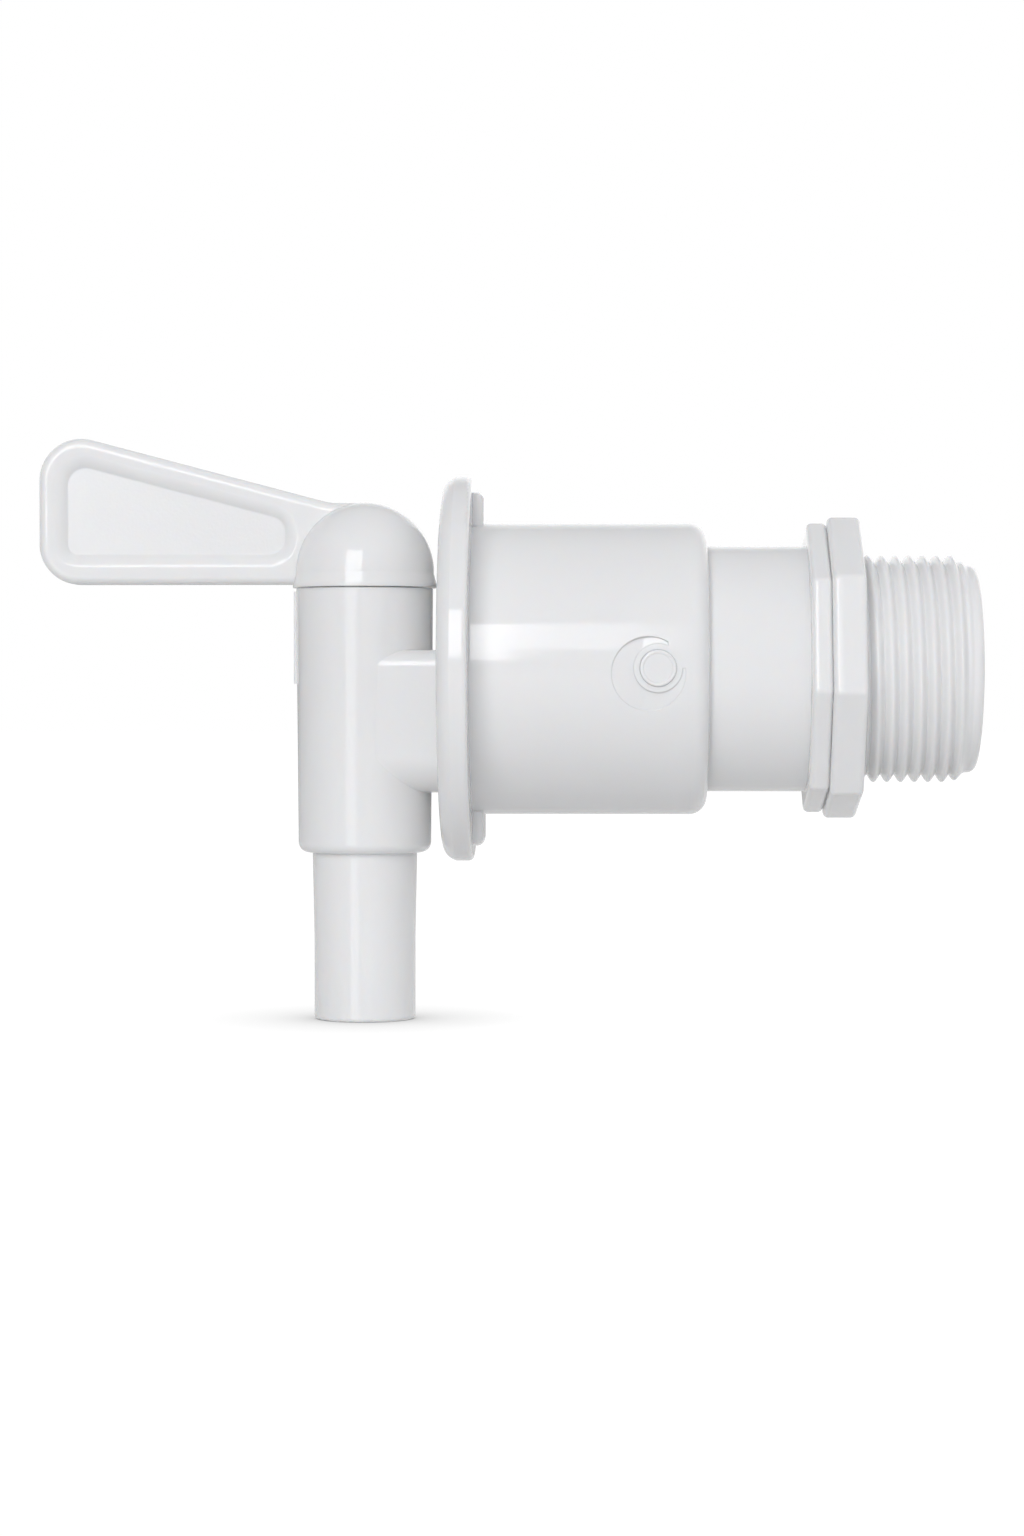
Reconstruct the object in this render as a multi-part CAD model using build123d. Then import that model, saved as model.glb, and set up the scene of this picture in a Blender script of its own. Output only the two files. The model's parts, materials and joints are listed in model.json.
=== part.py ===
"""A carboy spigot: a lever valve with its spout, held on a threaded adapter by a bayonet collar.

Millimetres, +Z up. The thread's axis is the X axis, and the thread points along +X, into the vessel.
The origin is the centre of the shoulder face that stops against the vessel's wall. Y = 0 is the plane
that holds the lever, the spout and the thread's axis.
"""

from build123d import *
from math import cos, radians, sin, sqrt, tan
import os

# Inlet thread, as ring crests at the real thread's pitch, and its pilot end, outward from the shoulder face
THREAD_MAJOR_RADIUS = 16.65
THREAD_PITCH = 2.0
THREAD_DEPTH = 1.05
THREAD_CRESTS = 7
THREAD_CREST_WIDTH = 0.5
THREAD_FIRST_CREST = 1.78
THREAD_RUN_IN = 0.5
THREAD_RUN_OUT = 1.32
PILOT_RADIUS = 15.2
PILOT_LENGTH = 1.95
PILOT_EDGE_ROUND = 1.15
FLOW_BORE_RADIUS = 11.0

# Two eight-sided wrench shoulders between the thread and the tube
WRENCH_SIDES = 8
WRENCH_TURN = 9.0
BIG_WRENCH_CORNER_RADIUS = 22.35
BIG_WRENCH_LENGTH = 4.85
SMALL_WRENCH_CORNER_RADIUS = 21.5
SMALL_WRENCH_LENGTH = 2.95
WRENCH_CORNER_ROUND = 1.3
WRENCH_EDGE_ROUND = 0.8

# Adapter tube, which the collar slides over
TUBE_RADIUS = 18.0
TUBE_SHOWN_LENGTH = 14.4
TUBE_END_ROUND = 0.6
SOCKET_MOUTH_CHAMFER = 0.5

# Bayonet collar: sleeve, hand flange and two finger lugs
COLLAR_LENGTH = 38.5
SLEEVE_WALL = 3.05
SLEEVE_END_LAND = 0.25
SLEEVE_MOUTH_ROUND = 0.3
FLANGE_RADIUS = 28.2
FLANGE_THICKNESS = 4.4
FLANGE_FRONT_ROUND = 2.4
FLANGE_EDGE_SETBACK = 1.9
FLANGE_EDGE_DROP = 0.75
FLANGE_BACK_ROUND = 0.7
LUG_REACH = 26.0
LUG_WIDTH = 10.3
LUG_THICKNESS = 1.6
LUG_EDGE_ROUND = 1.1
LUG_ROOT_DEPTH = 0.6

# Lock pins, the boss and curved recess at each, and the grooves that they run in
LOCK_PIN_SETBACK = 7.35
LOCK_PIN_RADIUS = 2.0
LOCK_PIN_REACH = 2.0
LOCK_PIN_HEAD_RADIUS = 2.6
LOCK_PIN_HEAD_DEPTH = 1.0
LOCK_PIN_HEAD_PROUD = 0.3
LOCK_PIN_HEAD_ROUND = 0.25
LOCK_PIN_DISH_RADIUS = 2.15
LOCK_PIN_DISH_DEPTH = 0.12
LOCK_TURN = 60.0
BOSS_RADIUS = 3.45
RECESS_RADIUS = 5.25
RECESS_SHIFT = 1.35
RECESS_DROP = 0.77
RECESS_RIM_DEPTH = 0.1
RECESS_DEPTH = 0.65
RECESS_DEPTH_SHIFT = 2.2
RECESS_FADE_SHIFT = 4.7
RECESS_FLOOR_ROUND = 4.0
RECESS_SIDE_SHIFT = 1.4

# Valve body: barrel, side rib, inlet block and shank
BARREL_TOP_RADIUS = 10.05
BARREL_BOTTOM_RADIUS = 9.75
BARREL_TOP_Z = 11.8
BARREL_LENGTH = 38.75
BARREL_BOTTOM_ROUND = 1.5
BARREL_TOP_ROUND = 0.15
RIB_WIDTH = 2.9
RIB_PROUD = 0.3
RIB_EDGE_ROUND = 0.2
RIB_TOP_DROP = 0.4
RIB_LENGTH = 13.6
BLOCK_REACH = 11.37
BLOCK_HALF_DEPTH = 9.65
BLOCK_TOP_Z = 2.7
BLOCK_HEIGHT = 20.8
BLOCK_TOP_ROUND = 2.35
BLOCK_BOTTOM_ROUND = 6.0
SHANK_RADIUS = 12.0
SHANK_LENGTH = 30.8
SHANK_BORE_RADIUS = 9.3
SHANK_END_WALL = 2.6
SHANK_NOSE_CHAMFER = 0.6
PORT_RADIUS = 4.5
PORT_Z = -4.6

# Lever plug: tapered plug with its spout, domed cap and recessed lever
PLUG_TOP_RADIUS = 8.14
PLUG_BOTTOM_RADIUS = 7.70
PLUG_BORE_RADIUS = 5.5
PLUG_BORE_ABOVE_PORT = 1.6
SPOUT_HOSE_RADIUS = 7.45
SPOUT_HOSE_LENGTH = 12.0
SPOUT_LENGTH = 24.55
SPOUT_EDGE_ROUND = 0.5
SNAP_BEAD_DROP = 3.0
SNAP_BEAD_WIDTH = 1.2
SNAP_BEAD_HEIGHT = 0.3
CAP_RING_RADIUS = 10.57
CAP_RING_HEIGHT = 0.6
CAP_RING_ROUND = 0.4
CAP_FLARE_HEIGHT = 1.5
DOME_RADIUS = 10.2
DOME_CENTRE_RISE = 2.35
LEVER_THICKNESS = 4.7
LEVER_REACH = 47.83
LEVER_RISE = 0.56
LEVER_ROOT_HEIGHT = 11.95
LEVER_FLAT_REACH = 4.95
LEVER_SLOPE = 14.8
LEVER_UPPER_TIP_ROUND = 6.2
LEVER_LOWER_TIP_ROUND = 6.0
LEVER_SLOPE_ROUND = 8.0
LEVER_EDGE_ROUND = 1.25
GRIP_DEPTH = 0.95
GRIP_WALL_SLOPE_AT_RIM = 10.0
GRIP_WALL_SLOPE_AT_FLOOR = 46.0
GRIP_WALL_SECTIONS = 5
GRIP_TIP_MARGIN = 2.4
GRIP_LOWER_MARGIN = 2.6
GRIP_UPPER_MARGIN = 2.3
GRIP_ROOT_REACH = 9.75
GRIP_LOWER_TIP_ROUND = 3.4
GRIP_UPPER_TIP_ROUND = 4.5
GRIP_ROOT_ROUND = 4.2

# Seals, washer and retaining ring
PLUG_SEAL_THICKNESS = 1.4
UPPER_SEAL_Z = 4.2
LOWER_SEAL_Z = -13.4
SHANK_SEAL_THICKNESS = 1.5
INNER_SEAL_SETBACK = 4.0
OUTER_SEAL_SETBACK = 9.0
WASHER_THICKNESS = 0.8
WASHER_RIM_RADIUS = 16.0
RETAINER_THICKNESS = 1.2
RETAINER_DEPTH = 1.0
RETAINER_RIM_RADIUS = 14.6
RETAINER_GAP = 7.0

# Clearances
PLUG_CLEARANCE = 0.06
CAP_SEAT_GAP = 0.08
SOCKET_CLEARANCE = 0.1
SLEEVE_CLEARANCE = 0.3
BODY_TO_FLANGE_GAP = 0.3
PIN_SEAT_CLEARANCE = 0.02
PIN_SIDE_CLEARANCE = 0.25
PIN_FLOOR_CLEARANCE = 0.3
SEAL_SEAT_CLEARANCE = 0.03
SEAL_WALL_CLEARANCE = 0.05
SEAL_GROOVE_SLACK = 0.3
WASHER_CLEARANCE = 0.1
RETAINER_CLEARANCE = 0.05
NOSE_CLEARANCE = 0.3

# Stations along the thread's axis, from the shoulder face outward
THREAD_END_X = THREAD_FIRST_CREST + (THREAD_CRESTS - 1) * THREAD_PITCH + THREAD_RUN_OUT
PILOT_END_X = THREAD_END_X + PILOT_LENGTH
SMALL_WRENCH_X = -BIG_WRENCH_LENGTH
TUBE_X = SMALL_WRENCH_X - SMALL_WRENCH_LENGTH
COLLAR_END_X = TUBE_X - TUBE_SHOWN_LENGTH
LOCK_PIN_X = COLLAR_END_X - LOCK_PIN_SETBACK
FLANGE_FRONT_X = COLLAR_END_X - COLLAR_LENGTH
FLANGE_BACK_X = FLANGE_FRONT_X + FLANGE_THICKNESS
WASHER_X = FLANGE_BACK_X + WASHER_CLEARANCE
RETAINER_X = WASHER_X + WASHER_THICKNESS + WASHER_CLEARANCE
TUBE_END_X = RETAINER_X + RETAINER_THICKNESS + SLEEVE_CLEARANCE
SHANK_ROOT_X = FLANGE_FRONT_X - BODY_TO_FLANGE_GAP
SHANK_NOSE_X = SHANK_ROOT_X + SHANK_LENGTH
SOCKET_END_X = SHANK_NOSE_X + NOSE_CLEARANCE
PLUG_AXIS_X = SHANK_ROOT_X - BLOCK_REACH

# Heights on the plug's axis
BARREL_BOTTOM_Z = BARREL_TOP_Z - BARREL_LENGTH
SPOUT_END_Z = BARREL_BOTTOM_Z - SPOUT_LENGTH
SNAP_BEAD_Z = BARREL_TOP_Z - SNAP_BEAD_DROP
CAP_Z = BARREL_TOP_Z + CAP_SEAT_GAP
DOME_CENTRE_Z = CAP_Z + DOME_CENTRE_RISE
LEVER_UNDERSIDE_Z = BARREL_TOP_Z + LEVER_RISE

# Radii that follow from a fit
SOCKET_RADIUS = SHANK_RADIUS + SOCKET_CLEARANCE
FLANGE_HOLE_RADIUS = SHANK_RADIUS + SLEEVE_CLEARANCE
SLEEVE_BORE_RADIUS = TUBE_RADIUS + SLEEVE_CLEARANCE
SLEEVE_RADIUS = SLEEVE_BORE_RADIUS + SLEEVE_WALL
SLEEVE_END_ROUND = SLEEVE_WALL - SLEEVE_END_LAND - SLEEVE_MOUTH_ROUND
PIN_TIP_RADIUS = TUBE_RADIUS - LOCK_PIN_REACH
GROOVE_FLOOR_RADIUS = PIN_TIP_RADIUS - PIN_FLOOR_CLEARANCE
GROOVE_HALF_WIDTH = LOCK_PIN_RADIUS + PIN_SIDE_CLEARANCE
RETAINER_BORE_RADIUS = SHANK_RADIUS - RETAINER_DEPTH

PAST = 1.0  # how far a cutting tool runs past the face that it opens


def plug_radius(z):
    """Radius of the tapered plug at a height in the barrel."""
    drop = (BARREL_TOP_Z - z) / BARREL_LENGTH
    return PLUG_TOP_RADIUS + (PLUG_BOTTOM_RADIUS - PLUG_TOP_RADIUS) * drop


def outline(points, rounds):
    """Closed face in the XZ plane, with a corner radius for each point."""
    return Plane.XZ * make_face(FilletPolyline(*points, radius=rounds, close=True))


def turned_about_x(points, rounds=None):
    """Solid of revolution about the thread's axis. Points are (x, radius)."""
    return revolve(outline(points, rounds or [0] * len(points)), axis=Axis.X)


def turned_about_plug(points, rounds=None):
    """Solid of revolution about the plug's axis. Points are (radius, z)."""
    solid = revolve(outline(points, rounds or [0] * len(points)), axis=Axis.Z)
    return Pos(PLUG_AXIS_X, 0, 0) * solid


def rod_along_x(radius, start, end):
    """Cylinder about the thread's axis between two stations."""
    return turned_about_x([(start, 0), (start, radius), (end, radius), (end, 0)])


def ring_along_x(inner, outer, start, end):
    """Plain ring about the thread's axis between two stations."""
    return turned_about_x([(start, inner), (start, outer), (end, outer), (end, inner)])


def ring_about_plug(inner, outer, low, high):
    """Plain ring about the plug's axis between two heights."""
    return turned_about_plug([(inner, low), (outer, low), (outer, high), (inner, high)])


def around_thread_axis(solid, turn):
    """Turns a solid made at the front (-Y) side about the thread's axis."""
    return Rot(turn, 0, 0) * solid


def front_rod(radius, inner, outer, station):
    """Cylinder that points straight out of the front side, between two distances from the axis."""
    rod = Cylinder(radius, outer - inner, align=(Align.CENTER, Align.CENTER, Align.MIN))
    return Pos(station, -inner, 0) * Rot(90, 0, 0) * rod


def wrench_shoulder(corner_radius, start, end):
    """Eight-sided plate with rounded corners and rims, between two stations."""
    face = Plane.YZ * RegularPolygon(corner_radius, WRENCH_SIDES, rotation=WRENCH_TURN)
    plate = Pos(start, 0, 0) * extrude(face, amount=end - start)
    plate = fillet(plate.edges().filter_by(Axis.X), WRENCH_CORNER_ROUND)
    rims = plate.edges().group_by(Axis.X)
    return fillet(rims[0] + rims[-1], WRENCH_EDGE_ROUND)


def bayonet_groove():
    """Cutter for the front groove: in from the tube's end, then round to the locked pin."""
    past_tube = TUBE_RADIUS + PAST
    section = outline(
        [
            (LOCK_PIN_X - GROOVE_HALF_WIDTH, GROOVE_FLOOR_RADIUS),
            (LOCK_PIN_X - GROOVE_HALF_WIDTH, past_tube),
            (LOCK_PIN_X + GROOVE_HALF_WIDTH, past_tube),
            (LOCK_PIN_X + GROOVE_HALF_WIDTH, GROOVE_FLOOR_RADIUS),
        ],
        [0, 0, 0, 0],
    )
    lane = Rot(90 - LOCK_TURN, 0, 0) * revolve(section, axis=Axis.X, revolution_arc=LOCK_TURN)
    end = front_rod(GROOVE_HALF_WIDTH, SOCKET_RADIUS, past_tube, LOCK_PIN_X)
    entry_length = LOCK_PIN_X - TUBE_END_X + PAST
    entry = Pos(LOCK_PIN_X, -SOCKET_RADIUS, 0) * Box(
        entry_length,
        past_tube - SOCKET_RADIUS,
        2 * GROOVE_HALF_WIDTH,
        align=(Align.MAX, Align.MAX, Align.CENTER),
    )
    cutter = lane + end + around_thread_axis(end + entry, -LOCK_TURN)
    return cutter - rod_along_x(GROOVE_FLOOR_RADIUS, TUBE_END_X - 2 * PAST, TUBE_X)


def thread_profile():
    """Points (x, radius) of the flat crests and the V grooves between them, from the run-in to the last crest."""
    points = [(THREAD_RUN_IN, THREAD_MAJOR_RADIUS)]
    for turn in range(THREAD_CRESTS):
        crest = THREAD_FIRST_CREST + turn * THREAD_PITCH
        start = crest - THREAD_CREST_WIDTH / 2
        gap = start - points[-1][0]
        depth = THREAD_DEPTH * gap / (THREAD_PITCH - THREAD_CREST_WIDTH)
        points.append((start - gap / 2, THREAD_MAJOR_RADIUS - depth))
        points.append((start, THREAD_MAJOR_RADIUS))
        points.append((start + THREAD_CREST_WIDTH, THREAD_MAJOR_RADIUS))
    return points


def threaded_adapter():
    """Thread, pilot, wrench shoulders and tube in one moulding, bored through."""
    thread = turned_about_x(
        [
            (SMALL_WRENCH_X, 0),
            (SMALL_WRENCH_X, THREAD_MAJOR_RADIUS),
            *thread_profile(),
            (THREAD_END_X, PILOT_RADIUS),
            (THREAD_END_X, 0),
        ]
    )
    pilot = turned_about_x(
        [
            (THREAD_END_X, 0),
            (THREAD_END_X, PILOT_RADIUS),
            (PILOT_END_X, PILOT_RADIUS),
            (PILOT_END_X, 0),
        ],
        [0, 0, PILOT_EDGE_ROUND, 0],
    )
    tube = turned_about_x(
        [
            (TUBE_END_X, 0),
            (TUBE_END_X, TUBE_RADIUS),
            (SMALL_WRENCH_X, TUBE_RADIUS),
            (SMALL_WRENCH_X, 0),
        ],
        [0, TUBE_END_ROUND, 0, 0],
    )
    shoulders = wrench_shoulder(BIG_WRENCH_CORNER_RADIUS, SMALL_WRENCH_X, 0)
    shoulders += wrench_shoulder(SMALL_WRENCH_CORNER_RADIUS, TUBE_X, SMALL_WRENCH_X)
    mouth = SOCKET_RADIUS + SOCKET_MOUTH_CHAMFER
    hollow = turned_about_x(
        [
            (TUBE_END_X, 0),
            (TUBE_END_X, mouth),
            (TUBE_END_X + SOCKET_MOUTH_CHAMFER, SOCKET_RADIUS),
            (SOCKET_END_X, SOCKET_RADIUS),
            (SOCKET_END_X, FLOW_BORE_RADIUS),
            (PILOT_END_X, FLOW_BORE_RADIUS),
            (PILOT_END_X, 0),
        ]
    )
    adapter = thread + pilot + tube + shoulders - hollow
    groove = bayonet_groove()
    return adapter - groove - around_thread_axis(groove, 180)


def finger_lug():
    """Upper lug behind the flange, as far out as its own rounded rim."""
    depth = LUG_THICKNESS + LUG_ROOT_DEPTH
    height = LUG_REACH - SLEEVE_RADIUS + LUG_ROOT_DEPTH
    block = Pos(FLANGE_BACK_X + LUG_THICKNESS, 0, LUG_REACH) * Box(
        depth, LUG_WIDTH, height, align=(Align.MAX, Align.CENTER, Align.MAX)
    )
    block &= rod_along_x(LUG_REACH, FLANGE_FRONT_X, LOCK_PIN_X)
    back_edges = block.edges().group_by(Axis.X)[-1].sort_by(Axis.Z)
    return fillet(back_edges[1:], LUG_EDGE_ROUND)


def curved_recess():
    """Cutter for the recess that curves round the front boss, deepest beside it and fading out past it."""
    outer = SLEEVE_RADIUS + PAST
    rim_x = LOCK_PIN_X - RECESS_SHIFT - RECESS_RADIUS
    fade_x = LOCK_PIN_X + RECESS_FADE_SHIFT
    cutter = Pos(-RECESS_SHIFT, 0, -RECESS_DROP) * front_rod(
        RECESS_RADIUS, SLEEVE_BORE_RADIUS, outer, LOCK_PIN_X
    )
    side = Box(RECESS_RADIUS, outer + PAST, outer, align=(Align.MIN, Align.MAX, Align.MIN))
    cutter -= Pos(LOCK_PIN_X + RECESS_SIDE_SHIFT, 0, 0) * side
    cutter -= front_rod(BOSS_RADIUS, SLEEVE_BORE_RADIUS - PAST, outer + PAST, LOCK_PIN_X)
    return cutter - turned_about_x(
        [
            (rim_x - PAST, 0),
            (rim_x - PAST, SLEEVE_RADIUS - RECESS_RIM_DEPTH),
            (rim_x, SLEEVE_RADIUS - RECESS_RIM_DEPTH),
            (LOCK_PIN_X - RECESS_DEPTH_SHIFT, SLEEVE_RADIUS - RECESS_DEPTH),
            (fade_x, SLEEVE_RADIUS),
            (fade_x, 0),
        ],
        [0, 0, 0, RECESS_FLOOR_ROUND, 0, 0],
    )


def lock_pin_hole():
    """Cutter for the front pin's stem hole and the seat of its head."""
    seat_floor = SLEEVE_RADIUS - LOCK_PIN_HEAD_DEPTH
    hole_radius = LOCK_PIN_RADIUS + PIN_SEAT_CLEARANCE
    seat_radius = LOCK_PIN_HEAD_RADIUS + PIN_SEAT_CLEARANCE
    hole = front_rod(hole_radius, TUBE_RADIUS - PAST, seat_floor + PAST, LOCK_PIN_X)
    return hole + front_rod(seat_radius, seat_floor, SLEEVE_RADIUS + PAST, LOCK_PIN_X)


def bayonet_collar():
    """Sleeve, flange and lugs in one moulding, with the two pins' bosses and recesses."""
    shell = turned_about_x(
        [
            (FLANGE_FRONT_X, FLANGE_HOLE_RADIUS),
            (FLANGE_FRONT_X, FLANGE_RADIUS - FLANGE_EDGE_DROP),
            (FLANGE_FRONT_X + FLANGE_EDGE_SETBACK, FLANGE_RADIUS),
            (FLANGE_BACK_X, FLANGE_RADIUS),
            (FLANGE_BACK_X, SLEEVE_RADIUS),
            (COLLAR_END_X, SLEEVE_RADIUS),
            (COLLAR_END_X, SLEEVE_BORE_RADIUS),
            (FLANGE_BACK_X, SLEEVE_BORE_RADIUS),
            (FLANGE_BACK_X, FLANGE_HOLE_RADIUS),
        ],
        [
            0,
            FLANGE_FRONT_ROUND,
            0,
            FLANGE_BACK_ROUND,
            0,
            SLEEVE_END_ROUND,
            SLEEVE_MOUTH_ROUND,
            0,
            0,
        ],
    )
    lug = finger_lug()
    collar = shell + lug + around_thread_axis(lug, 180)
    cutter = curved_recess() + lock_pin_hole()
    return collar - cutter - around_thread_axis(cutter, 180)


def lock_pin():
    """Front lock pin: its head in the collar's seat, its stem's tip in the adapter's groove."""
    seat_floor = SLEEVE_RADIUS - LOCK_PIN_HEAD_DEPTH
    head_top = SLEEVE_RADIUS + LOCK_PIN_HEAD_PROUD
    dish_floor = head_top - LOCK_PIN_DISH_DEPTH
    profile = outline(
        [
            (0, PIN_TIP_RADIUS),
            (LOCK_PIN_RADIUS, PIN_TIP_RADIUS),
            (LOCK_PIN_RADIUS, seat_floor),
            (LOCK_PIN_HEAD_RADIUS, seat_floor),
            (LOCK_PIN_HEAD_RADIUS, head_top),
            (LOCK_PIN_DISH_RADIUS, head_top),
            (LOCK_PIN_DISH_RADIUS - LOCK_PIN_DISH_DEPTH, dish_floor),
            (0, dish_floor),
        ],
        [0, 0, 0, 0, LOCK_PIN_HEAD_ROUND, 0, 0, 0],
    )
    return Pos(LOCK_PIN_X, 0, 0) * Rot(90, 0, 0) * revolve(profile, axis=Axis.Z)


def seal_ring(major_radius, thickness):
    """Round-section ring about the Z axis."""
    return Torus(major_radius, thickness / 2)


def plug_seal_major(z):
    """Centre-line radius of a plug seal, which just clears the barrel's bore."""
    wall = plug_radius(z) + PLUG_CLEARANCE
    return wall - SEAL_WALL_CLEARANCE - PLUG_SEAL_THICKNESS / 2


def plug_seal_groove(z):
    """Cutter for a seal's groove round the plug."""
    floor = plug_seal_major(z) - PLUG_SEAL_THICKNESS / 2 - SEAL_SEAT_CLEARANCE
    half_width = (PLUG_SEAL_THICKNESS + SEAL_GROOVE_SLACK) / 2
    return ring_about_plug(floor, PLUG_TOP_RADIUS + PAST, z - half_width, z + half_width)


def plug_seal(z):
    """Seal ring in its groove round the plug."""
    return Pos(PLUG_AXIS_X, 0, z) * seal_ring(plug_seal_major(z), PLUG_SEAL_THICKNESS)


SHANK_SEAL_MAJOR = SOCKET_RADIUS - SEAL_WALL_CLEARANCE - SHANK_SEAL_THICKNESS / 2


def shank_seal_groove(station):
    """Cutter for a seal's groove round the shank."""
    floor = SHANK_SEAL_MAJOR - SHANK_SEAL_THICKNESS / 2 - SEAL_SEAT_CLEARANCE
    half_width = (SHANK_SEAL_THICKNESS + SEAL_GROOVE_SLACK) / 2
    return ring_along_x(floor, SHANK_RADIUS + PAST, station - half_width, station + half_width)


def shank_seal(station):
    """Seal ring in its groove round the shank."""
    return Pos(station, 0, 0) * Rot(0, 90, 0) * seal_ring(SHANK_SEAL_MAJOR, SHANK_SEAL_THICKNESS)


INNER_SEAL_X = SHANK_NOSE_X - INNER_SEAL_SETBACK
OUTER_SEAL_X = SHANK_NOSE_X - OUTER_SEAL_SETBACK


def side_rib():
    """Narrow rib down the barrel's lever side."""
    outer_face_x = PLUG_AXIS_X - BARREL_TOP_RADIUS - RIB_PROUD
    depth = BARREL_TOP_RADIUS + RIB_PROUD - plug_radius(BARREL_TOP_Z) - PLUG_CLEARANCE
    rib = Pos(outer_face_x, 0, BARREL_TOP_Z - RIB_TOP_DROP) * Box(
        depth, RIB_WIDTH, RIB_LENGTH, align=(Align.MIN, Align.CENTER, Align.MAX)
    )
    return fillet(rib.edges().group_by(Axis.X)[0], RIB_EDGE_ROUND)


def inlet_block():
    """Square block that joins the barrel to the shank, with rounded long edges."""
    block = Pos(PLUG_AXIS_X, 0, BLOCK_TOP_Z) * Box(
        BLOCK_REACH, 2 * BLOCK_HALF_DEPTH, BLOCK_HEIGHT, align=(Align.MIN, Align.CENTER, Align.MAX)
    )
    levels = block.edges().filter_by(Axis.X).group_by(Axis.Z)
    block = fillet(levels[-1], BLOCK_TOP_ROUND)
    levels = block.edges().filter_by(Axis.X).group_by(Axis.Z)
    return fillet(levels[0], BLOCK_BOTTOM_ROUND)


def barrel_bore():
    """Cutter for the tapered bore and the groove that the plug's snap bead turns in."""
    low = BARREL_BOTTOM_Z - PAST
    high = BARREL_TOP_Z + PAST
    bore = turned_about_plug(
        [
            (0, low),
            (plug_radius(low) + PLUG_CLEARANCE, low),
            (plug_radius(high) + PLUG_CLEARANCE, high),
            (0, high),
        ]
    )
    bead = plug_radius(SNAP_BEAD_Z) + SNAP_BEAD_HEIGHT + PLUG_CLEARANCE
    half_width = SNAP_BEAD_WIDTH / 2 + PLUG_CLEARANCE
    return bore + ring_about_plug(
        PLUG_BOTTOM_RADIUS, bead, SNAP_BEAD_Z - half_width, SNAP_BEAD_Z + half_width
    )


def tap_body():
    """Barrel, rib, inlet block and shank in one moulding."""
    barrel = turned_about_plug(
        [
            (0, BARREL_BOTTOM_Z),
            (BARREL_BOTTOM_RADIUS, BARREL_BOTTOM_Z),
            (BARREL_TOP_RADIUS, BARREL_TOP_Z),
            (0, BARREL_TOP_Z),
        ],
        [0, BARREL_BOTTOM_ROUND, BARREL_TOP_ROUND, 0],
    )
    shank = turned_about_x(
        [
            (SHANK_ROOT_X, 0),
            (SHANK_ROOT_X, SHANK_RADIUS),
            (SHANK_NOSE_X - SHANK_NOSE_CHAMFER, SHANK_RADIUS),
            (SHANK_NOSE_X, SHANK_RADIUS - SHANK_NOSE_CHAMFER),
            (SHANK_NOSE_X, 0),
        ]
    )
    body = barrel + side_rib() + inlet_block() + shank
    shank_bore_x = SHANK_ROOT_X + SHANK_END_WALL
    body -= rod_along_x(SHANK_BORE_RADIUS, shank_bore_x, SHANK_NOSE_X)
    body -= Pos(0, 0, PORT_Z) * rod_along_x(PORT_RADIUS, PLUG_AXIS_X, shank_bore_x)
    body -= barrel_bore()
    body -= ring_along_x(
        RETAINER_BORE_RADIUS,
        SHANK_RADIUS + PAST,
        RETAINER_X - RETAINER_CLEARANCE,
        RETAINER_X + RETAINER_THICKNESS + RETAINER_CLEARANCE,
    )
    for station in (INNER_SEAL_X, OUTER_SEAL_X):
        body -= shank_seal_groove(station)
    return body


def thrust_washer():
    """Flat washer between the collar's front wall and the retaining ring."""
    bore = SHANK_RADIUS + WASHER_CLEARANCE
    return ring_along_x(bore, WASHER_RIM_RADIUS, WASHER_X, WASHER_X + WASHER_THICKNESS)


def retaining_ring():
    """Split ring in the shank's groove, open at the bottom."""
    bore = RETAINER_BORE_RADIUS + RETAINER_CLEARANCE
    ring = ring_along_x(bore, RETAINER_RIM_RADIUS, RETAINER_X, RETAINER_X + RETAINER_THICKNESS)
    gap = Pos(RETAINER_X - PAST, 0, 0) * Box(
        RETAINER_THICKNESS + 2 * PAST,
        RETAINER_GAP,
        RETAINER_RIM_RADIUS + PAST,
        align=(Align.MIN, Align.CENTER, Align.MAX),
    )
    return ring - gap


def plug_with_cap():
    """Plug, spout, snap bead and domed cap as one turned form, bored from below."""
    hose_top = SPOUT_END_Z + SPOUT_HOSE_LENGTH
    bore_top = PORT_Z + PORT_RADIUS + PLUG_BORE_ABOVE_PORT
    bead_low = SNAP_BEAD_Z - SNAP_BEAD_WIDTH / 2
    bead_high = SNAP_BEAD_Z + SNAP_BEAD_WIDTH / 2
    bead_radius = plug_radius(SNAP_BEAD_Z) + SNAP_BEAD_HEIGHT
    ring_top = CAP_Z + CAP_RING_HEIGHT
    flare_top = ring_top + CAP_FLARE_HEIGHT
    plug = turned_about_plug(
        [
            (0, flare_top),
            (sqrt(DOME_RADIUS**2 - (flare_top - DOME_CENTRE_Z) ** 2), flare_top),
            (CAP_RING_RADIUS, ring_top),
            (CAP_RING_RADIUS, CAP_Z),
            (plug_radius(CAP_Z), CAP_Z),
            (plug_radius(bead_high), bead_high),
            (bead_radius, SNAP_BEAD_Z),
            (plug_radius(bead_low), bead_low),
            (PLUG_BOTTOM_RADIUS, BARREL_BOTTOM_Z),
            (SPOUT_HOSE_RADIUS, hose_top),
            (SPOUT_HOSE_RADIUS, SPOUT_END_Z),
            (PLUG_BORE_RADIUS, SPOUT_END_Z),
            (PLUG_BORE_RADIUS, bore_top),
            (0, bore_top),
        ],
        [0, 0, CAP_RING_ROUND, 0, 0, 0, 0, 0, 0, 0, SPOUT_EDGE_ROUND, 0, 0, 0],
    )
    ball = Pos(PLUG_AXIS_X, 0, DOME_CENTRE_Z) * Sphere(DOME_RADIUS)
    above_ring = Pos(PLUG_AXIS_X, 0, ring_top) * Cylinder(
        DOME_RADIUS + PAST, 2 * DOME_RADIUS, align=(Align.CENTER, Align.CENTER, Align.MIN)
    )
    return plug + (ball & above_ring)


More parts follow.
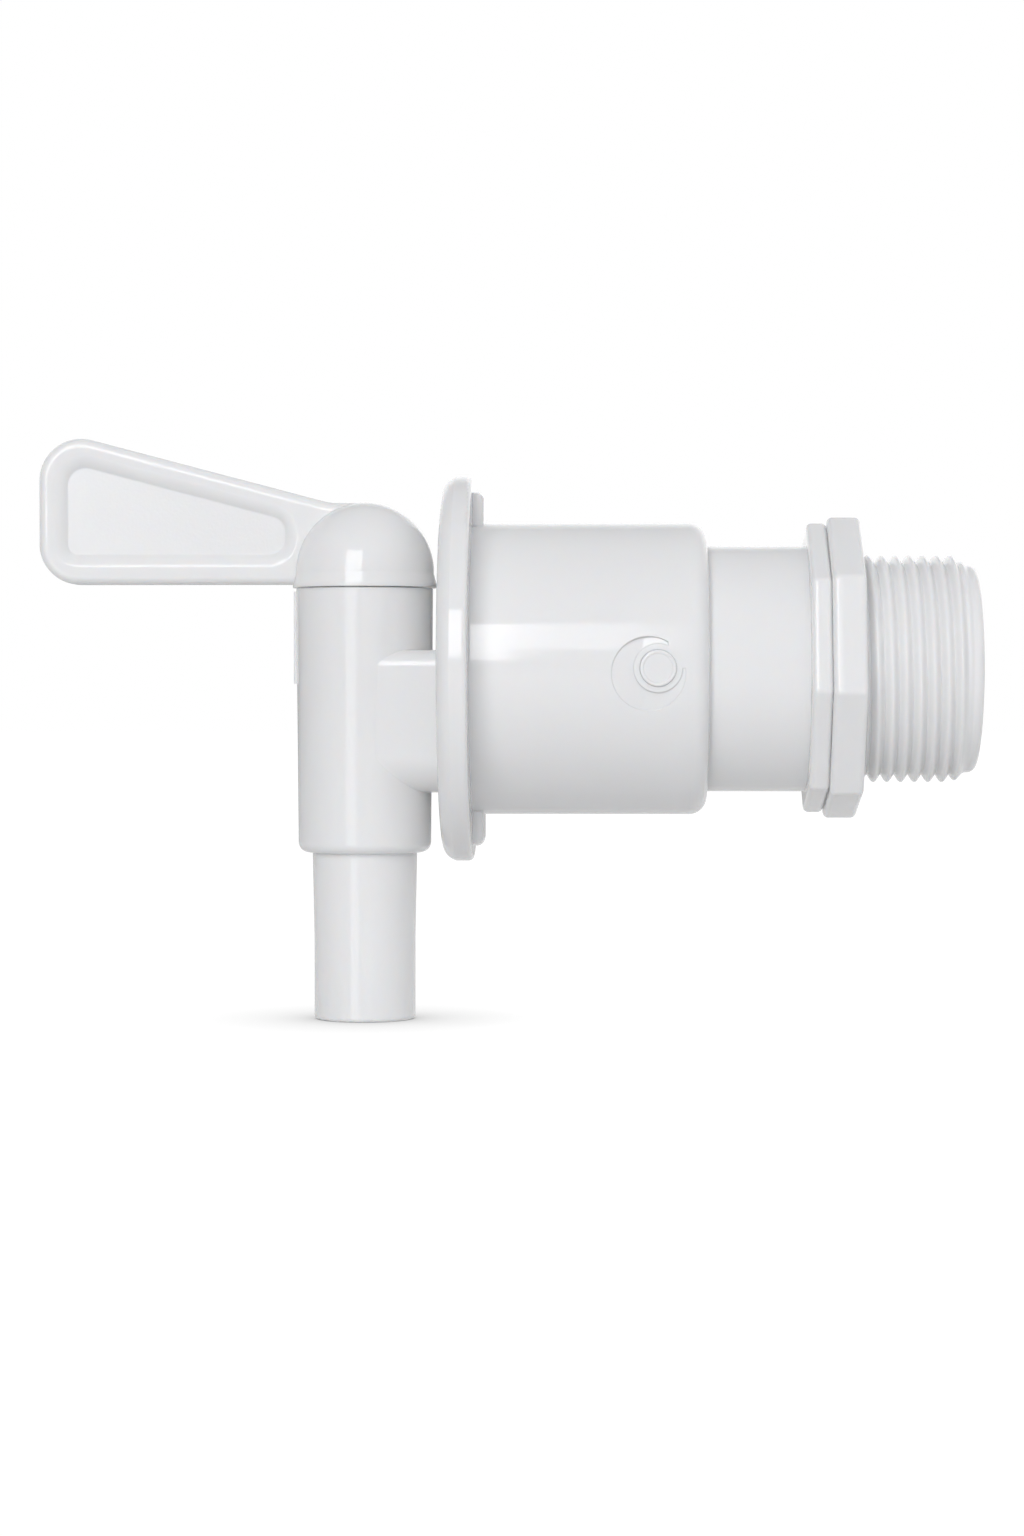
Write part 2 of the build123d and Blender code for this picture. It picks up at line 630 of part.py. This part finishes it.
def lever_bar():
    """Flat lever with a sloping top, round tip corners and rounded edges."""
    tip = PLUG_AXIS_X - LEVER_REACH
    bend = PLUG_AXIS_X - LEVER_FLAT_REACH
    flat = LEVER_UNDERSIDE_Z + LEVER_ROOT_HEIGHT
    tip_top = flat + (bend - tip) * tan(radians(LEVER_SLOPE))
    face = outline(
        [
            (tip, LEVER_UNDERSIDE_Z),
            (tip, tip_top),
            (bend, flat),
            (PLUG_AXIS_X, flat),
            (PLUG_AXIS_X, LEVER_UNDERSIDE_Z),
        ],
        [LEVER_LOWER_TIP_ROUND, LEVER_UPPER_TIP_ROUND, LEVER_SLOPE_ROUND, 0, 0],
    )
    bar = extrude(face, amount=LEVER_THICKNESS / 2, both=True)
    sides = bar.edges().group_by(Axis.Y)
    rims = [e for e in sides[0] + sides[-1] if e.center().X < PLUG_AXIS_X - LEVER_EDGE_ROUND]
    return fillet(rims, LEVER_EDGE_ROUND)


def grip_outline(inset):
    """Outline of the lever's side recess, drawn in from its rim by a distance."""
    slope = tan(radians(LEVER_SLOPE))
    bend = PLUG_AXIS_X - LEVER_FLAT_REACH
    flat = LEVER_UNDERSIDE_Z + LEVER_ROOT_HEIGHT
    tip = PLUG_AXIS_X - LEVER_REACH + GRIP_TIP_MARGIN + inset
    root = PLUG_AXIS_X - GRIP_ROOT_REACH - inset
    low = LEVER_UNDERSIDE_Z + GRIP_LOWER_MARGIN + inset
    drop = (GRIP_UPPER_MARGIN + inset) / cos(radians(LEVER_SLOPE))
    return outline(
        [
            (tip, low),
            (tip, flat + (bend - tip) * slope - drop),
            (root, flat + (bend - root) * slope - drop),
            (root, low),
        ],
        [
            GRIP_LOWER_TIP_ROUND - inset,
            GRIP_UPPER_TIP_ROUND - inset,
            GRIP_ROOT_ROUND - inset,
            GRIP_ROOT_ROUND - inset,
        ],
    )


def grip_recess():
    """Cutter for the front side's recess, whose walls are arcs that steepen from the rim to the floor."""
    first, last = radians(GRIP_WALL_SLOPE_AT_RIM), radians(GRIP_WALL_SLOPE_AT_FLOOR)
    arc_radius = GRIP_DEPTH / (cos(first) - cos(last))
    sections = []
    for step in range(-1, GRIP_WALL_SECTIONS):
        slope = first + (last - first) * step / (GRIP_WALL_SECTIONS - 1)
        inset = arc_radius * (sin(slope) - sin(first))
        depth = arc_radius * (cos(first) - cos(slope))
        sections.append((Pos(0, depth - LEVER_THICKNESS / 2, 0) * grip_outline(inset)).face())
    return loft(sections)


def lever_plug():
    """Lever, cap, plug and spout in one moulding, with the side port and both recesses."""
    plug = plug_with_cap() + lever_bar()
    recess = grip_recess()
    plug -= recess
    plug -= mirror(recess, Plane.XZ)
    plug -= Pos(0, 0, PORT_Z) * rod_along_x(PORT_RADIUS, PLUG_AXIS_X, PLUG_AXIS_X + PLUG_TOP_RADIUS + PAST)
    for z in (UPPER_SEAL_Z, LOWER_SEAL_Z):
        plug -= plug_seal_groove(z)
    return plug


NODES = {
    "threaded_adapter": threaded_adapter,
    "bayonet_collar": bayonet_collar,
    "lock_pin_front": lock_pin,
    "lock_pin_rear": lambda: around_thread_axis(lock_pin(), 180),
    "tap_body": tap_body,
    "lever_plug": lever_plug,
    "plug_seal_upper": lambda: plug_seal(UPPER_SEAL_Z),
    "plug_seal_lower": lambda: plug_seal(LOWER_SEAL_Z),
    "shank_seal_inner": lambda: shank_seal(INNER_SEAL_X),
    "shank_seal_outer": lambda: shank_seal(OUTER_SEAL_X),
    "thrust_washer": thrust_washer,
    "retaining_ring": retaining_ring,
}

os.makedirs("parts", exist_ok=True)
for name, make in NODES.items():
    export_step(make(), f"parts/{name}.step")
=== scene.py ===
"""The looks of a white moulded carboy spigot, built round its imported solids.

Metres, +Z up, in the solids' own frame: the thread's axis is X, the plug's axis is upright, and
Y = 0 is the plane of the lever and the spout.
"""

import json
from math import atan2, cos, hypot, pi, radians, sin, sqrt

import bmesh
import bpy
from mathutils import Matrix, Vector

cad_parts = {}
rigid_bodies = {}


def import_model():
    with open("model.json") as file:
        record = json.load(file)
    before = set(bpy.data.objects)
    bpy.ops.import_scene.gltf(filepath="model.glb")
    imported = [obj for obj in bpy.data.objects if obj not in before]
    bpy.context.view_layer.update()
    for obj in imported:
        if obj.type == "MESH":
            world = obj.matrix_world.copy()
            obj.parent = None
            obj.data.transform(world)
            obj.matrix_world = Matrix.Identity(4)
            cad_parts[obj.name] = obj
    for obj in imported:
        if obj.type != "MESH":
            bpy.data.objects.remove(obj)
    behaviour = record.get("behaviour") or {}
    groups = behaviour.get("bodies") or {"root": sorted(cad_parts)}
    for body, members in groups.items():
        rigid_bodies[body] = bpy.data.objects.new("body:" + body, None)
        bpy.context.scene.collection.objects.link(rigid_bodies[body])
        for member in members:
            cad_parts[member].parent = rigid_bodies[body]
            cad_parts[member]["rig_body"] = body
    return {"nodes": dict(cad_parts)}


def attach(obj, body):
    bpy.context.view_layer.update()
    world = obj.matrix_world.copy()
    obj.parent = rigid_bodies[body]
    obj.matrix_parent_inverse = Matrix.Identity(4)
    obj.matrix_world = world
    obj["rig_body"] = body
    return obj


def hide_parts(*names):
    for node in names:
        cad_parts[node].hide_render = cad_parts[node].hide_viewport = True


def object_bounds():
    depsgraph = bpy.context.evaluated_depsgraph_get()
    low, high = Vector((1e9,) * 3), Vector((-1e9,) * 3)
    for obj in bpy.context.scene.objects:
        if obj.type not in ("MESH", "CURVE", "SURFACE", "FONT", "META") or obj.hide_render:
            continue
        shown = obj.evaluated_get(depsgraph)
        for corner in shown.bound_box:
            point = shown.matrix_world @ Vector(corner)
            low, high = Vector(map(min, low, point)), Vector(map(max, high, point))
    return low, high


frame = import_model()
cad_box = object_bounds()

# Camera at the photograph's angle
CAMERA_PLACE = Vector((-0.0373, -0.5095, -0.0023))
CAMERA_TARGET = Vector((-0.0507, 0.0, -0.0146))
CAMERA_SENSOR = 36.0
CAMERA_LENS = 81.2

# Studio walls, which grow brighter toward each side. The back wall's own light lies between a lower
# and an upper edge, each with its outer and inner angle above level, in degrees.
BACKDROP_COLOUR = (1.0, 1.0, 1.0, 1.0)
ALL_ROUND_LIGHT = (0.07, 0.07, 0.07)
FRONT_LIGHT = (0.295, 0.30, 0.325)
CAMERA_SIDE_LIGHT = (0.365, 0.365, 0.375)
CAMERA_SIDE_FOCUS = 4.0
BACK_LIGHT = (0.22, 0.22, 0.22)
BACK_WALL_LIGHT = (0.85, 0.85, 0.85)
BACK_WALL_EDGES = ((0.0, 3.0), (42.0, 18.0))
TOP_LIGHT = (0.36, 0.365, 0.375)
RIGHT_LIGHT = (0.42, 0.42, 0.42)
BELOW_LIGHT = (0.45, 0.45, 0.45)
BELOW_REACH = -0.08

# Soft boxes in the walls: left, right, lower and upper edge, each with its outer and inner angle,
# in degrees right of the front for the first two and above level for the others
LOW_BOX_LIGHT = (1.6, 1.6, 1.6)
LOW_BOX_EDGES = ((-29.5, -28.5), (-6.5, -15.0), (-24.0, -14.0), (2.5, 1.5))
KEY_BOX_LIGHT = (4.5, 4.5, 4.5)
KEY_BOX_EDGES = ((-29.5, -28.5), (-9.3, -9.7), (1.5, 2.5), (35.0, 33.0))
SIDE_BOX_LIGHT = (4.2, 4.2, 4.2)
SIDE_BOX_EDGES = ((-9.7, -9.3), (-4.3, -4.7), (4.5, 5.5), (36.0, 33.5))
PATCH_BOX_LIGHT = (5.0, 5.0, 5.0)
PATCH_BOX_EDGES = ((-4.7, -4.3), (-1.4, -1.55), (4.0, 9.0), (36.0, 33.5))
BAND_BOX_LIGHT = (2.5, 2.5, 2.5)
BAND_BOX_EDGES = ((-1.55, -1.4), (2.4, -0.3), (13.5, 17.0), (37.5, 32.5))

# Floor: white glow to the camera with a painted soft contact shadow, shaped as an even sky would
# cast it, and diffuse to the rest of the scene
FLOOR_HALF_SIZE = 3.0
FLOOR_ALBEDO = (0.79, 0.79, 0.79, 1.0)
FLOOR_WHITE = 1.05
FLOOR_SHADE_REACH = 0.025
FLOOR_SHADE_SOFTNESS = 0.77

# Middle span of a noise, which holds most of its values
NOISE_SPAN = (0.3, 0.7)

# Moulded white plastic
WHITE_DEEP = (0.85, 0.85, 0.85, 1.0)
WHITE_PALE = (0.86, 0.86, 0.86, 1.0)
WHITE_ROUGHNESS = (0.035, 0.06)
WHITE_IOR = 1.49
WHITE_SCATTER = 0.4
WHITE_SCATTER_REACH = 0.0005
WHITE_SCATTER_TINT = (1.0, 0.8, 0.65)
WHITE_EDGE_ROUND = 0.0002
WHITE_EDGE_SAMPLES = 6
FLOW_MARK_SCALE = 70.0
SHEEN_SCALE = 260.0
SHEEN_DETAIL = 3.0
SINK_WAVE_HEIGHT = 0.0002
SINK_WAVE_STRENGTH = 0.1
SKIN_SCALE = 2200.0
SKIN_HEIGHT = 0.00001
SKIN_STRENGTH = 0.05

# The lever's own: rounder edges, and a matt grain on the floor of its grip
GRIP_EDGE_ROUND = 0.0004
GRIP_FLOOR_DEPTH = 0.0016
GRIP_FLOOR_FACING = 0.95
GRIP_GRAIN_SCALE = 2600.0
GRIP_GRAIN_DETAIL = 4.0
GRIP_GRAIN_HEIGHT = 0.00003
GRIP_GRAIN_STRENGTH = 0.6
GRIP_ADDED_ROUGHNESS = 0.03

# Rubber seals, and the nylon of the washer and the ring
RUBBER_COLOUR = (0.05, 0.05, 0.05, 1.0)
RUBBER_DEEP = (0.03, 0.03, 0.03, 1.0)
RUBBER_ROUGHNESS = (0.45, 0.6)
NYLON_COLOUR = (0.78, 0.77, 0.71, 1.0)
NYLON_DEEP = (0.72, 0.71, 0.65, 1.0)
NYLON_ROUGHNESS = (0.4, 0.55)
POLYMER_TONE_SCALE = 180.0
POLYMER_SHEEN_SCALE = 900.0
POLYMER_GRAIN_SCALE = 3000.0
POLYMER_GRAIN_HEIGHT = 0.00003
POLYMER_GRAIN_STRENGTH = 0.4

# Inlet thread, which takes the place of the solid's ring crests
THREAD_PITCH = 0.0020
THREAD_CREST = 0.01662
THREAD_ROOT = 0.01550
THREAD_TOP_CREST = 0.00128
THREAD_LENGTH = 0.0156
THREAD_RUN_IN = 0.0009
THREAD_RUN_OUT = 0.0021
THREAD_FULLNESS = 0.7
THREAD_ROW = 0.0001
PILOT_RADIUS = 0.0152
PILOT_END = 0.01705
PILOT_ROUND = 0.00115
PILOT_ROUND_STEPS = 10
FLOW_BORE_RADIUS = 0.0110

# Reshaped meshes: distances that count as the same point and as a place reached, and the least turn
# between two faces that stays a sharp corner
WELD = 1e-6
NEAR = 1e-5
SHARP_CORNER = radians(32)


def smooth_step(share):
    """Eases from 0 to 1 as the share runs from 0 to 1."""
    share = min(1.0, max(0.0, share))
    return share * share * (3.0 - 2.0 * share)


def add_camera():
    """Camera at the photograph's place and angle."""
    data = bpy.data.cameras.new("photo_camera")
    data.sensor_width = CAMERA_SENSOR
    data.lens = CAMERA_LENS
    camera = bpy.data.objects.new("photo_camera", data)
    bpy.context.scene.collection.objects.link(camera)
    camera.location = CAMERA_PLACE
    camera.rotation_euler = (CAMERA_TARGET - CAMERA_PLACE).to_track_quat("-Z", "Y").to_euler()
    bpy.context.scene.camera = camera


def map_range(tree, source, from_span, to_span=(0.0, 1.0), easing="LINEAR"):
    """Maps one span of values onto another."""
    node = tree.nodes.new("ShaderNodeMapRange")
    node.interpolation_type = easing
    node.inputs["From Min"].default_value, node.inputs["From Max"].default_value = from_span
    node.inputs["To Min"].default_value, node.inputs["To Max"].default_value = to_span
    tree.links.new(source, node.inputs["Value"])
    return node.outputs["Result"]


def math_node(tree, operation, *sources):
    """One operation over sockets and plain numbers."""
    node = tree.nodes.new("ShaderNodeMath")
    node.operation = operation
    for socket, source in zip(node.inputs, sources):
        if isinstance(source, (int, float)):
            socket.default_value = source
        else:
            tree.links.new(source, socket)
    return node.outputs["Value"]


def shown_to_camera(tree, camera_shader, other_shader):
    """Shows one shader to the camera and another to everything else."""
    choice = tree.nodes.new("ShaderNodeMixShader")
    ray = tree.nodes.new("ShaderNodeLightPath").outputs["Is Camera Ray"]
    tree.links.new(ray, choice.inputs["Fac"])
    tree.links.new(other_shader, choice.inputs[1])
    tree.links.new(camera_shader, choice.inputs[2])
    return choice.outputs["Shader"]


def lit_share(tree, share, colour, rest=None):
    """A light's colour scaled by its share at each direction, added to the rest of the light."""
    scaled = tree.nodes.new("ShaderNodeVectorMath")
    scaled.operation = "SCALE"
    scaled.inputs[0].default_value = colour
    tree.links.new(share, scaled.inputs["Scale"])
    total = tree.nodes.new("ShaderNodeVectorMath")
    total.operation = "ADD"
    tree.links.new(scaled.outputs["Vector"], total.inputs[0])
    if rest is None:
        total.inputs[1].default_value = ALL_ROUND_LIGHT
    else:
        tree.links.new(rest, total.inputs[1])
    return total.outputs["Vector"]


def angle_rise(tree, angle, edge):
    """Share that rises softly from 0 to 1 between an edge's outer and inner angle."""
    return map_range(tree, angle, [radians(a) for a in edge], easing="SMOOTHSTEP")


def soft_box(tree, right, up, edges):
    """Share of a soft-edged box at each direction."""
    share = None
    for angle, edge in zip((right, right, up, up), edges):
        rise = angle_rise(tree, angle, edge)
        share = rise if share is None else math_node(tree, "MULTIPLY", share, rise)
    return share


def add_world():
    """Studio walls: white to the camera, and soft light and five soft boxes for the object."""
    world = bpy.data.worlds.new("studio")
    bpy.context.scene.world = world
    world.use_nodes = True
    tree = world.node_tree
    walls = tree.nodes["Background"]
    direction = tree.nodes.new("ShaderNodeTexCoord").outputs["Generated"]
    parts = tree.nodes.new("ShaderNodeSeparateXYZ")
    tree.links.new(direction, parts.inputs[0])
    x, y, z = (parts.outputs[axis] for axis in "XYZ")
    front = map_range(tree, y, (0.0, -1.0))
    light = lit_share(tree, front, FRONT_LIGHT)
    focus = math_node(tree, "POWER", front, CAMERA_SIDE_FOCUS)
    light = lit_share(tree, focus, CAMERA_SIDE_LIGHT, light)
    back = map_range(tree, y, (0.0, 1.0))
    light = lit_share(tree, back, BACK_LIGHT, light)
    light = lit_share(tree, map_range(tree, z, (0.0, 1.0)), TOP_LIGHT, light)
    light = lit_share(tree, map_range(tree, z, (0.0, BELOW_REACH)), BELOW_LIGHT, light)
    light = lit_share(tree, map_range(tree, x, (0.0, 1.0)), RIGHT_LIGHT, light)
    right = math_node(tree, "ARCTAN2", x, math_node(tree, "MULTIPLY", y, -1.0))
    up = math_node(tree, "ARCSINE", z)
    for edge in BACK_WALL_EDGES:
        back = math_node(tree, "MULTIPLY", back, angle_rise(tree, up, edge))
    light = lit_share(tree, back, BACK_WALL_LIGHT, light)
    for edges, colour in (
        (LOW_BOX_EDGES, LOW_BOX_LIGHT),
        (KEY_BOX_EDGES, KEY_BOX_LIGHT),
        (SIDE_BOX_EDGES, SIDE_BOX_LIGHT),
        (PATCH_BOX_EDGES, PATCH_BOX_LIGHT),
        (BAND_BOX_EDGES, BAND_BOX_LIGHT),
    ):
        light = lit_share(tree, soft_box(tree, right, up, edges), colour, light)
    tree.links.new(light, walls.inputs["Color"])
    backdrop = tree.nodes.new("ShaderNodeBackground")
    backdrop.inputs["Color"].default_value = BACKDROP_COLOUR
    seen = shown_to_camera(tree, backdrop.outputs["Background"], walls.outputs["Background"])
    tree.links.new(seen, tree.nodes["World Output"].inputs["Surface"])


def add_floor():
    """Pale floor at the spout's mouth: glows white with a painted contact shadow, unseen in gloss.
    """
    height = cad_box[0].z
    corners = [
        (x * FLOOR_HALF_SIZE, y * FLOOR_HALF_SIZE, height)
        for x, y in ((-1, -1), (1, -1), (1, 1), (-1, 1))
    ]
    mesh = bpy.data.meshes.new("floor")
    mesh.from_pydata(corners, [], [(0, 1, 2, 3)])
    floor = bpy.data.objects.new("floor", mesh)
    bpy.context.scene.collection.objects.link(floor)
    material = bpy.data.materials.new("pale_floor")
    material.use_nodes = True
    tree = material.node_tree
    tree.nodes.remove(tree.nodes["Principled BSDF"])
    sheet = tree.nodes.new("ShaderNodeBsdfDiffuse")
    sheet.inputs["Color"].default_value = FLOOR_ALBEDO
    # Painted contact shadow: ambient occlusion near the object darkens the white glow the camera
    # sees
    painted_shadow_occlusion = tree.nodes.new("ShaderNodeAmbientOcclusion")
    painted_shadow_occlusion.inputs["Distance"].default_value = FLOOR_SHADE_REACH
    white = tree.nodes.new("ShaderNodeEmission")
    shade = math_node(tree, "POWER", painted_shadow_occlusion.outputs["AO"], FLOOR_SHADE_SOFTNESS)
    tree.links.new(math_node(tree, "MULTIPLY", shade, FLOOR_WHITE), white.inputs["Strength"])
    seen = shown_to_camera(tree, white.outputs["Emission"], sheet.outputs["BSDF"])
    tree.links.new(seen, tree.nodes["Material Output"].inputs["Surface"])
    mesh.materials.append(material)
    floor.visible_glossy = False


def noise(tree, coordinates, scale, detail=2.0):
    """Grey noise over object coordinates."""
    node = tree.nodes.new("ShaderNodeTexNoise")
    node.inputs["Scale"].default_value = scale
    node.inputs["Detail"].default_value = detail
    tree.links.new(coordinates, node.inputs["Vector"])
    return node.outputs["Fac"]


def bump(tree, height, distance, strength=1.0, under=None):
    """Bump of a height map, laid over another bump where one is given."""
    node = tree.nodes.new("ShaderNodeBump")
    node.inputs["Strength"].default_value = strength
    node.inputs["Distance"].default_value = distance
    tree.links.new(height, node.inputs["Height"])
    if under is not None:
        tree.links.new(under, node.inputs["Normal"])
    return node.outputs["Normal"]


def mix_colours(tree, share, first, second):
    """Mix of two plain colours by a share."""
    node = tree.nodes.new("ShaderNodeMix")
    node.data_type = "RGBA"
    tree.links.new(share, node.inputs["Factor"])
    node.inputs["A"].default_value = first
    node.inputs["B"].default_value = second
    return node.outputs["Result"]


def new_material(name):
    """Material with its tree, its main shader and object coordinates."""
    material = bpy.data.materials.new(name)
    material.use_nodes = True
    tree = material.node_tree
    coordinates = tree.nodes.new("ShaderNodeTexCoord")
    return material, tree, tree.nodes["Principled BSDF"], coordinates


def moulded_white(name, grip=False):
    """Glossy white plastic with faint flow marks and waves, and a matt grain on a grip's floor."""
    material, tree, shader, coordinates = new_material(name)
    place = coordinates.outputs["Object"]
    marks = noise(tree, place, FLOW_MARK_SCALE)
    colour = mix_colours(tree, map_range(tree, marks, NOISE_SPAN), WHITE_DEEP, WHITE_PALE)
    tree.links.new(colour, shader.inputs["Base Color"])
    sheen = noise(tree, place, SHEEN_SCALE, SHEEN_DETAIL)
    roughness = map_range(tree, sheen, NOISE_SPAN, WHITE_ROUGHNESS)
    edges = tree.nodes.new("ShaderNodeBevel")
    edges.samples = WHITE_EDGE_SAMPLES
    edges.inputs["Radius"].default_value = GRIP_EDGE_ROUND if grip else WHITE_EDGE_ROUND
    waves = bump(tree, marks, SINK_WAVE_HEIGHT, SINK_WAVE_STRENGTH, edges.outputs["Normal"])
    skin = bump(tree, noise(tree, place, SKIN_SCALE), SKIN_HEIGHT, SKIN_STRENGTH, waves)
    if grip:
        parts = tree.nodes.new("ShaderNodeSeparateXYZ")
        tree.links.new(place, parts.inputs[0])
        facing = tree.nodes.new("ShaderNodeSeparateXYZ")
        tree.links.new(coordinates.outputs["Normal"], facing.inputs[0])
        depth = math_node(tree, "ABSOLUTE", parts.outputs["Y"])
        deep = math_node(tree, "LESS_THAN", depth, GRIP_FLOOR_DEPTH)
        sideways = math_node(tree, "ABSOLUTE", facing.outputs["Y"])
        flat = math_node(tree, "GREATER_THAN", sideways, GRIP_FLOOR_FACING)
        matt = math_node(tree, "MULTIPLY", deep, flat)
        grain = noise(tree, place, GRIP_GRAIN_SCALE, GRIP_GRAIN_DETAIL)
        grain = math_node(tree, "MULTIPLY", grain, matt)
        skin = bump(tree, grain, GRIP_GRAIN_HEIGHT, GRIP_GRAIN_STRENGTH, skin)
        added = math_node(tree, "MULTIPLY", matt, GRIP_ADDED_ROUGHNESS)
        roughness = math_node(tree, "ADD", roughness, added)
    tree.links.new(roughness, shader.inputs["Roughness"])
    tree.links.new(skin, shader.inputs["Normal"])
    shader.inputs["IOR"].default_value = WHITE_IOR
    shader.inputs["Subsurface Weight"].default_value = WHITE_SCATTER
    shader.inputs["Subsurface Radius"].default_value = WHITE_SCATTER_TINT
    shader.inputs["Subsurface Scale"].default_value = WHITE_SCATTER_REACH
    return material


def plain_polymer(name, colour, deep, roughness):
    """Matt rubber or nylon with a slightly uneven tone and a fine grain."""
    material, tree, shader, coordinates = new_material(name)
    place = coordinates.outputs["Object"]
    tone = noise(tree, place, POLYMER_TONE_SCALE)
    tree.links.new(mix_colours(tree, tone, deep, colour), shader.inputs["Base Color"])
    sheen = map_range(tree, noise(tree, place, POLYMER_SHEEN_SCALE), NOISE_SPAN, roughness)
    tree.links.new(sheen, shader.inputs["Roughness"])
    grain = noise(tree, place, POLYMER_GRAIN_SCALE)
    skin = bump(tree, grain, POLYMER_GRAIN_HEIGHT, POLYMER_GRAIN_STRENGTH)
    tree.links.new(skin, shader.inputs["Normal"])
    return material


def thread_surface(x, angle):
    """Radius of the threaded end at a station and an angle about the thread's axis."""
    if x > PILOT_END - PILOT_ROUND:
        along = x - (PILOT_END - PILOT_ROUND)
        return PILOT_RADIUS - PILOT_ROUND + sqrt(max(0.0, PILOT_ROUND**2 - along**2))
    wave = 0.5 + 0.5 * cos(2 * pi * (x - THREAD_TOP_CREST) / THREAD_PITCH - (angle - pi / 2))
    wave = wave**THREAD_FULLNESS
    height = smooth_step(x / THREAD_RUN_IN) * smooth_step((THREAD_LENGTH - x) / THREAD_RUN_OUT)
    past_root = smooth_step((x - THREAD_LENGTH) / THREAD_RUN_IN + 1)
    root = THREAD_ROOT + (PILOT_RADIUS - THREAD_ROOT) * past_root
    return root + (THREAD_CREST - root) * wave * height


def thread_stations():
    """Stations along the threaded end, close together on the thread and round the pilot's edge."""
    rows = round((PILOT_END - PILOT_ROUND) / THREAD_ROW)
    stations = [row * (PILOT_END - PILOT_ROUND) / rows for row in range(rows + 1)]
    quarter = [pi / 2 * step / PILOT_ROUND_STEPS for step in range(1, PILOT_ROUND_STEPS + 1)]
    return stations + [PILOT_END - PILOT_ROUND + PILOT_ROUND * sin(turn) for turn in quarter]


def distance_from_axis(vertex):
    """Distance of a vertex from the thread's axis."""
    return hypot(vertex.co.y, vertex.co.z)


def turn_about_axis(vertex):
    """Angle of a vertex about the thread's axis, with the top at a right angle."""
    return atan2(vertex.co.z, vertex.co.y)


def round_pairs(ring):
    """Neighbours round a closed ring, the last with the first."""
    return list(zip(ring, ring[1:] + ring[:1]))


def beyond_shoulder(face):
    """True for the faces of the ringed end and its end face, but not of the bore."""
    past = all(v.co.x > -WELD for v in face.verts) and any(v.co.x > NEAR for v in face.verts)
    return past and any(distance_from_axis(v) > FLOW_BORE_RADIUS + NEAR for v in face.verts)


def threaded_end(shape):
    """Swaps the ringed end for one with the real thread, welded to the same rims."""
    ringed = [f for f in shape.faces if beyond_shoulder(f)]
    bmesh.ops.delete(shape, geom=ringed, context="FACES")
    rims = [e for e in shape.edges if e.is_boundary]
    shoulder = {v for e in rims for v in e.verts if v.co.x < NEAR}
    bore_rim = [e for e in rims if e.verts[0].co.x > NEAR]
    ring = sorted(shoulder, key=turn_about_axis)
    angles = [turn_about_axis(v) for v in ring]
    for x in thread_stations():
        radii = [thread_surface(x, angle) for angle in angles]
        new = [shape.verts.new((x, r * cos(a), r * sin(a))) for r, a in zip(radii, angles)]
        for (near, near_next), (far, far_next) in zip(round_pairs(ring), round_pairs(new)):
            shape.faces.new((near, near_next, far_next, far))
        ring = new
    end_rim = [shape.edges.get(pair) for pair in round_pairs(ring)]
    bmesh.ops.bridge_loops(shape, edges=end_rim + bore_rim)


def reshaped_node(name, new_name, reshape):
    """New piece that stands for a node: the node's own surface, welded, with a reshaped part."""
    node = frame["nodes"][name]
    shape = bmesh.new()
    shape.from_mesh(node.data)
    bmesh.ops.remove_doubles(shape, verts=shape.verts, dist=WELD)
    reshape(shape)
    bmesh.ops.recalc_face_normals(shape, faces=shape.faces)
    mesh = bpy.data.meshes.new(new_name)
    shape.to_mesh(mesh)
    shape.free()
    smooth_shading(mesh)
    piece = bpy.data.objects.new(new_name, mesh)
    bpy.context.scene.collection.objects.link(piece)
    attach(piece, node["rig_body"])
    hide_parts(name)
    return piece


def smooth_shading(mesh):
    """Smooth shading with true corners kept sharp."""
    for layer in [a for a in mesh.attributes if a.name == "custom_normal"]:
        mesh.attributes.remove(layer)
    mesh.polygons.foreach_set("use_smooth", [True] * len(mesh.polygons))
    mesh.set_sharp_from_angle(angle=SHARP_CORNER)


def paint(piece, material):
    """Gives a piece one material."""
    piece.data.materials.clear()
    piece.data.materials.append(material)


add_camera()
add_world()
add_floor()
bpy.context.scene.view_settings.view_transform = "Standard"

adapter = reshaped_node("threaded_adapter", "adapter_with_thread", threaded_end)
white = moulded_white("moulded_white")
paint(adapter, white)
for name in ("bayonet_collar", "lock_pin_front", "lock_pin_rear", "tap_body"):
    paint(frame["nodes"][name], white)
paint(frame["nodes"]["lever_plug"], moulded_white("moulded_white_grip", grip=True))
rubber = plain_polymer("seal_rubber", RUBBER_COLOUR, RUBBER_DEEP, RUBBER_ROUGHNESS)
nylon = plain_polymer("natural_nylon", NYLON_COLOUR, NYLON_DEEP, NYLON_ROUGHNESS)
for name in ("plug_seal_upper", "plug_seal_lower", "shank_seal_inner", "shank_seal_outer"):
    paint(frame["nodes"][name], rubber)
for name in ("thrust_washer", "retaining_ring"):
    paint(frame["nodes"][name], nylon)
